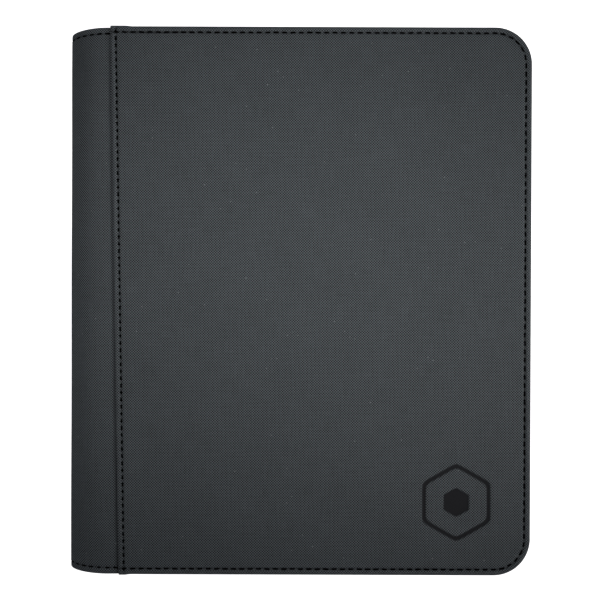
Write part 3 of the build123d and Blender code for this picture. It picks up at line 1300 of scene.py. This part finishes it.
@dataclass
class Spine:
    """The rounded spine: its outer cloth, its lining, its end stitches and the strip that holds the pages."""

    front: Cover
    back: Cover
    finishes: Finishes
    layers: SpineLayers = SpineLayers()
    path_step: float = 1.1
    grid_step: float = 2.4
    oval_depth: float = 26.0  # from the crest to where the outside goes flat
    stitch_inset: float = 3.7
    stitch_sink: float = 0.45  # how far under the cloth's outside the stitches run
    stitch_overrun: float = 0.8  # how far past the fold they still show
    rim_drop: float = 0.12
    groove_depth: float = 0.3
    groove_width: float = 0.6
    # the thread squeezes the weave flat at the end stitches, and darkens it as painted groove shade
    squeeze_and_shade: float = 0.5
    squeeze_and_shade_width: float = 0.55
    hollow: Tuple[float, float, float] = (0.2, 3.0, 3.0)  # depth, distance before the fold, and width
    tuck: Tuple[float, float] = (0.6, 1.0)  # depth and width of the dip under the fold
    crease_shade: Tuple[float, float] = (0.6, 0.25)  # strength of the painted shade in the crease under the fold, and how much more at the tail
    wave_height: float = 0.12
    wave_lengths: Tuple[float, float] = (6.5, 21.0)  # round and along the spine, for each radian
    wave_starts: Tuple[float, float] = (5.0, 25.0)  # from head and tail
    rounding: float = 0.8  # how far the cloth's ends are rounded in, in thicknesses
    bend_reach: float = 8.0  # how far from the middle of the thickness the cloth bends
    strip_corner: float = 0.6
    strip_web: float = 0.55  # from the middle of the thickness to the middle of a web
    strip_crest: float = 0.4  # how far inside its lowest x the strip's crest begins to turn
    strip_bend_reach: float = 0.2
    end_step: float = 0.3  # how much the spine cloth stops short of the covers at head and tail
    head_gap: float = 0.5  # how much shorter still it is at the head
    head_pull: float = 1.5  # how far its ends are drawn in at the crest
    tail_pull: float = 0.7
    pull_reach: float = 40.0
    lining_step: float = 0.3  # how much shorter the lining is at each end
    bottom_z: float = field(init=False)
    crest_x: float = field(init=False)
    board_x: float = field(init=False)
    half_length: float = field(init=False)
    middle_z: float = field(init=False)

    def __post_init__(self) -> None:
        """Read the spine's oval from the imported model."""
        low, high = box_mm("spine_panel_back")
        self.bottom_z = low[2]
        self.crest_x = low[0]
        self.board_x = high[0]
        self.half_length = high[1]
        self.middle_z = (self.front.outside_z + self.back.outside_z) / 2

    def section(self, outside: float) -> Tuple[Array, Array]:
        """The outside of one layer: along the front cover, round the oval, and back along the back cover.

        Formula: half an ellipse about the point where the covers go flat, with a straight line at each end.

        Args:
            outside: How far the layer's outside lies within that of the spine's outer cloth.

        Returns:
            Points (x, z) and unit normals, evenly spaced.
        """
        width = self.oval_depth - outside
        height = self.middle_z - self.bottom_z - outside
        flat_x = self.crest_x + self.oval_depth
        turn = np.linspace(math.pi / 2, 3 * math.pi / 2, 400)
        oval = np.stack([flat_x + width * np.cos(turn), self.middle_z + height * np.sin(turn)], axis=1)
        top = np.array([[self.board_x, self.middle_z + height]])
        bottom = np.array([[self.board_x, self.middle_z - height]])
        outline = np.concatenate([top, oval, bottom])
        steps = np.linalg.norm(np.diff(outline, axis=0), axis=1)
        distance = np.concatenate([[0], np.cumsum(steps)])
        count = math.ceil(distance[-1] / self.path_step)
        even = np.linspace(0, distance[-1], count + 1)
        path = np.stack([np.interp(even, distance, column) for column in outline.T], axis=1)
        along = np.gradient(path, axis=0)
        along = along / np.linalg.norm(along, axis=1, keepdims=True)
        return path, np.stack([along[:, 1], -along[:, 0]], axis=1)

    def cross_section(self, thickness: float, half_length: float, sewn: bool) -> Tuple[Array, Array, Array]:
        """Cloth cut across: its outside from tail to head with rounded ends, then its inside back again.

        Formula: quarter ellipses at the ends, and where it is sewn a bell-shaped groove at each row.

        Args:
            thickness: The cloth's thickness.
            half_length: From the middle to an end.
            sewn: Whether it has the groove of the stitches and the lower rim outside them.

        Returns:
            The y of each corner, its offset from the outside, and 1 where it belongs to the outside.
        """
        round_in = thickness * self.rounding
        turns = np.linspace(0, math.pi / 2, 5)
        edge = round_in * (1 - np.cos(turns))
        if sewn:
            edge = np.concatenate([edge, *SPINE_LINES])
        middle = evenly(-half_length + edge[-1] + 1, half_length - edge[-1] - 0.5, self.grid_step)
        y = np.concatenate([-half_length + edge, middle, half_length - edge[::-1]])
        inwards = half_length - np.abs(y)
        share = np.clip(1 - inwards / round_in, 0, 1)
        offset = -thickness / 2 * (1 - np.sqrt(1 - share**2))
        if sewn:
            out, into = self.front.shoulder
            outside = 1 - smooth_step(inwards, self.stitch_inset - out, self.stitch_inset + into)
            groove = self.groove_depth * bell(inwards - self.stitch_inset, self.groove_width)
            offset = offset - self.rim_drop * outside - groove
        under = np.linspace(0, math.pi / 2, 4)[1:]
        under_in = round_in * (1 - np.cos(under))
        under_offset = -thickness / 2 - thickness / 2 * np.sin(under)
        ends = np.concatenate([y, half_length - under_in, -half_length + under_in[::-1]])
        offsets = np.concatenate([offset, under_offset, under_offset[::-1]])
        outside_share = np.concatenate([np.ones(len(y)), np.zeros(2 * len(under))])
        return ends, offsets, outside_share

    def drawn_in(self, surface: Surface) -> Surface:
        """Pull the ends of a layer in towards the middle, most at the crest, where the cloth is tight.

        Formula: the pull grows with the square of the way from the covers to the crest, and fades away from
        the ends over the pull's reach.

        Args:
            surface: The layer, changed in place.

        Returns:
            The same layer.
        """
        x, y = surface.points[:, 0], surface.points[:, 1]
        to_crest = np.clip(1 - (x - self.crest_x) / (self.front.seam_x - self.crest_x), 0, 1)
        near_end = smooth_step(np.abs(y), self.half_length - self.pull_reach, self.half_length)
        pull = np.where(y > 0, self.head_gap + self.head_pull * to_crest**2, self.tail_pull * to_crest**2)
        surface.points[:, 1] = y - np.sign(y) * pull * near_end
        return surface

    def panel_surface(self) -> Surface:
        """The outer cloth of the spine, hollow before each fold and waving slowly along its length.

        Formula: a wide bell before the fold and a narrow one under it, less a product of two sines, one along
        the path and one along the spine.
        """
        path, normal = self.section(0)
        half = self.half_length - self.end_step
        ends, offset, outside = self.cross_section(self.layers.panel_cloth, half, True)
        x = path[:, 0, None]
        upper = path[:, 1, None] > self.middle_z
        fold = np.where(upper, self.front.fold_x(ends[None, :]), self.back.fold_x(ends[None, :]))
        hollow_depth, hollow_place, hollow_width = self.hollow
        tuck_depth, tuck_width = self.tuck
        hollow = hollow_depth * bell(x - (fold - hollow_place), hollow_width)
        dip = hollow + tuck_depth * bell(x - fold, tuck_width)
        distance = np.arange(len(path))[:, None] * self.path_step
        around, along = self.wave_lengths
        wave = self.wave_height * np.sin(distance / around) * np.sin(ends[None, :] / along + 1)
        wave = wave * smooth_step(self.half_length - np.abs(ends), *self.wave_starts)
        surface = carried(path, normal, ends, offset, (wave * (x < fold) - dip) * outside)
        # painted shade in the crease under the fold, darker towards the tail; flat is its strength in the
        # middle
        flat, tail_share = self.crease_shade
        crease_shade = (flat - tail_share * ends / self.half_length) * bell(x - fold + 0.5, tuck_width)
        # painted shade of the stitch grooves at head and tail
        sewn = self.squeeze_and_shade * bell(half - np.abs(ends) - self.stitch_inset, self.squeeze_and_shade_width)
        surface.pressed = (np.maximum(crease_shade, sewn) * outside).ravel()
        return self.drawn_in(surface)

    def lining_surface(self) -> Surface:
        """The lining of the spine, one sheet inside the outer cloth."""
        path, normal = self.section(self.layers.panel_cloth)
        half = self.half_length - self.end_step - self.lining_step
        ends, offset, _ = self.cross_section(self.layers.lining_cloth, half, False)
        return self.drawn_in(carried(path, normal, ends, offset))

    def strip_surface(self) -> Surface:
        """The strip that holds the pages: up a flange, in along the web, round at the crest, and out again.

        Formula: straight runs with quarter circles at the flange and half a circle at the crest, mirrored at
        the middle of the thickness.
        """
        low, high = box_mm("binding_strip_back")
        thickness = self.layers.strip
        flange_x = high[0] - thickness / 2
        web_z = self.middle_z - self.strip_web
        crest_x = low[0] + self.strip_crest
        tip_z = low[2]
        corner = self.strip_corner
        turn = np.linspace(0, math.pi / 2, 6)
        flange_z = np.linspace(tip_z, web_z - corner, 4)
        flange = np.stack([np.full(4, flange_x), flange_z], axis=1)
        bend_x = flange_x - corner + corner * np.cos(turn)
        bend = np.stack([bend_x, web_z - corner + corner * np.sin(turn)], axis=1)
        web_x = np.linspace(flange_x - corner, crest_x, 8)[1:]
        web = np.stack([web_x, np.full(len(web_x), web_z)], axis=1)
        radius = self.middle_z - web_z
        crest_turn = np.linspace(0, math.pi / 2, 9)[1:]
        round_x = crest_x - radius * np.sin(crest_turn)
        crest = np.stack([round_x, self.middle_z - radius * np.cos(crest_turn)], axis=1)
        half = np.concatenate([flange, bend[1:], web, crest])
        mirrored = half[-2::-1] * [1, -1] + [0, 2 * self.middle_z]
        path = np.concatenate([half, mirrored])
        along = np.gradient(path, axis=0)
        along = along / np.linalg.norm(along, axis=1, keepdims=True)
        normal = np.stack([-along[:, 1], along[:, 0]], axis=1)
        ends, offset, _ = self.cross_section(thickness, high[1], False)
        surface = carried(path, normal, ends, offset + thickness / 2)
        surface.faces = [part[:, ::-1] for part in surface.faces]
        return surface

    def end_stitches(self) -> Surface:
        """The rows of edge stitches where they run on over the spine's head and tail, from fold to fold."""
        path, normal = self.section(self.stitch_sink)
        rows = []
        row_y = self.half_length - self.end_step - self.stitch_inset
        for seed, y in ((41, row_y), (43, -row_y)):
            upper = path[:, 1] > self.middle_z
            fold = np.where(upper, self.front.fold_x(y), self.back.fold_x(y))
            shown = path[:, 0] < fold + self.stitch_overrun
            line = np.insert(path[shown], 1, y, axis=1)
            out = np.insert(normal[shown], 1, 0.0, axis=1)
            middles, along = along_path(line, EDGE_STITCH.pitch)
            nearest = np.argmin(np.linalg.norm(line[None] - middles[:, None], axis=2), axis=1)
            rows.append(stitch_row(middles, along, out[nearest], EDGE_STITCH, seed))
        return self.drawn_in(Surface.joined(rows))

    def build(self) -> None:
        """Make the spine's pieces, each bending from the back cover to the front cover."""
        cloth, lining = self.finishes.cover_cloth, self.finishes.spine_lining
        panel = make_piece("spine_panel", self.panel_surface(), cloth)
        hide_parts("spine_panel_back", "spine_panel_front")
        inner = make_piece("spine_lining", self.lining_surface(), lining)
        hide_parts("spine_lining_back", "spine_lining_front")
        sewn = make_piece("spine_end_stitches", self.end_stitches(), self.finishes.thread)
        for piece in (panel, inner, sewn):
            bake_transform(piece)
        strip = make_piece("binding_strip", self.strip_surface(), self.finishes.page_sheet)
        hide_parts("binding_strip_back", "binding_strip_front")
        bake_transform(strip)


# ----------------------------------------------------------------------------------------------------
# Pages


@dataclass
class Page:
    """One page: a black middle sheet with clear pockets welded to both of its sides."""

    number: int
    finishes: Finishes

    def build(self) -> None:
        """Dress the page's two nodes."""
        dress(f"page_{self.number:02d}_sheet", self.finishes.page_sheet)
        dress(f"page_{self.number:02d}_pockets", self.finishes.pocket_film)


# ----------------------------------------------------------------------------------------------------
# Studio


@dataclass(frozen=True)
class Lamp:
    """A square soft light behind a grid, which fades away from where it points."""

    name: str
    place: Tuple[float, float, float]
    aim: Tuple[float, float, float]
    size: float
    beam: float  # full angle, in degrees
    power: float  # watts

    def build(self) -> None:
        """Make the light, turned towards its aim."""
        light = bpy.data.lights.new(self.name, "AREA")
        light.size = self.size * MM
        light.spread = math.radians(self.beam)
        light.energy = self.power
        holder = bpy.data.objects.new(self.name, light)
        bpy.context.scene.collection.objects.link(holder)
        holder.location = [value * MM for value in self.place]
        sight = Vector([(to - at) * MM for to, at in zip(self.aim, self.place)])
        holder.rotation_euler = sight.to_track_quat("-Z", "Y").to_euler()


LAMPS = (
    Lamp(name="key", place=(48, 75, 820), aim=(24, 48, 0), size=240, beam=41, power=0.18),
    Lamp(name="side", place=(2000, -600, 900), aim=(-20, 60, 20), size=300, beam=13, power=0.205),
    Lamp(name="fill", place=(-1500, 200, 900), aim=(-120, 0, 20), size=300, beam=12, power=0.045),
)


@dataclass
class Studio:
    """Pale floor, soft lights and a camera that looks straight down on the front cover."""

    camera_height: float = 502.0
    camera_x: float = 1.1
    camera_y: float = 0.7
    camera_turn: float = 0.2  # degrees about the line of sight
    camera_tilt: float = 0.25  # degrees towards the head
    view_width: float = 349.2  # what the picture takes in at the height of the front cover
    floor_size: float = 6000.0
    floor_z: float = -0.1
    air_colour: str = "f4f7ff"
    air_strength: float = 0.125

    def build(self) -> None:
        """Make the floor, the lights, the world and the camera."""
        self.make_floor()
        for lamp in LAMPS:
            lamp.build()
        self.make_camera()
        world = bpy.data.worlds.new("pale_studio")
        world.use_nodes = True
        background = world.node_tree.nodes["Background"]
        background.inputs["Color"].default_value = linear(self.air_colour)
        background.inputs["Strength"].default_value = self.air_strength
        bpy.context.scene.world = world
        bpy.context.scene.view_settings.view_transform = "Standard"

    def make_floor(self) -> None:
        """A plain white sheet of card, large enough for every view."""
        half = self.floor_size / 2
        corners = ((-half, -half), (half, -half), (half, half), (-half, half))
        points = np.array([(x, y, self.floor_z) for x, y in corners])
        card = Grained(
            name="white_card",
            dark="f6f6f6",
            light="ffffff",
            grain=3.0,
            roughness=0.9,
            relief=0.01,
            specular=0.1,
            glow=1.0,
        ).build()
        floor = make_piece("floor", Surface(points, [np.array([[0, 1, 2, 3]])], points[:, :2]), card)
        floor.visible_diffuse = False
        floor.visible_glossy = False

    def make_camera(self) -> None:
        """A camera above the cover, with a lens that takes in view_width at the cover's height."""
        _, high = box_mm("front_outer_panel")
        camera = bpy.data.cameras.new("camera")
        camera.sensor_width = 36
        camera.lens = camera.sensor_width * (self.camera_height - high[2]) / self.view_width
        camera.clip_start = 0.01
        holder = bpy.data.objects.new("camera", camera)
        bpy.context.scene.collection.objects.link(holder)
        tilt = math.radians(self.camera_tilt)
        swing = (self.camera_height - high[2]) * math.tan(tilt)
        holder.location = (self.camera_x * MM, (swing + self.camera_y) * MM, self.camera_height * MM)
        holder.rotation_euler = (-tilt, 0, math.radians(self.camera_turn))
        bpy.context.scene.camera = holder


def main() -> None:
    """Build the binder from the outside in, then the studio round it."""
    logging.basicConfig(level=logging.INFO, format="%(message)s")
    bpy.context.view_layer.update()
    finishes = Finishes()
    back = Cover(Side.BACK, finishes)
    front = Cover(Side.FRONT, finishes)
    back.build()
    front.build()
    Spine(front, back, finishes).build()
    for number in range(1, PAGE_COUNT + 1):
        Page(number, finishes).build()
    Studio().build()


if __name__ == "__main__":
    main()
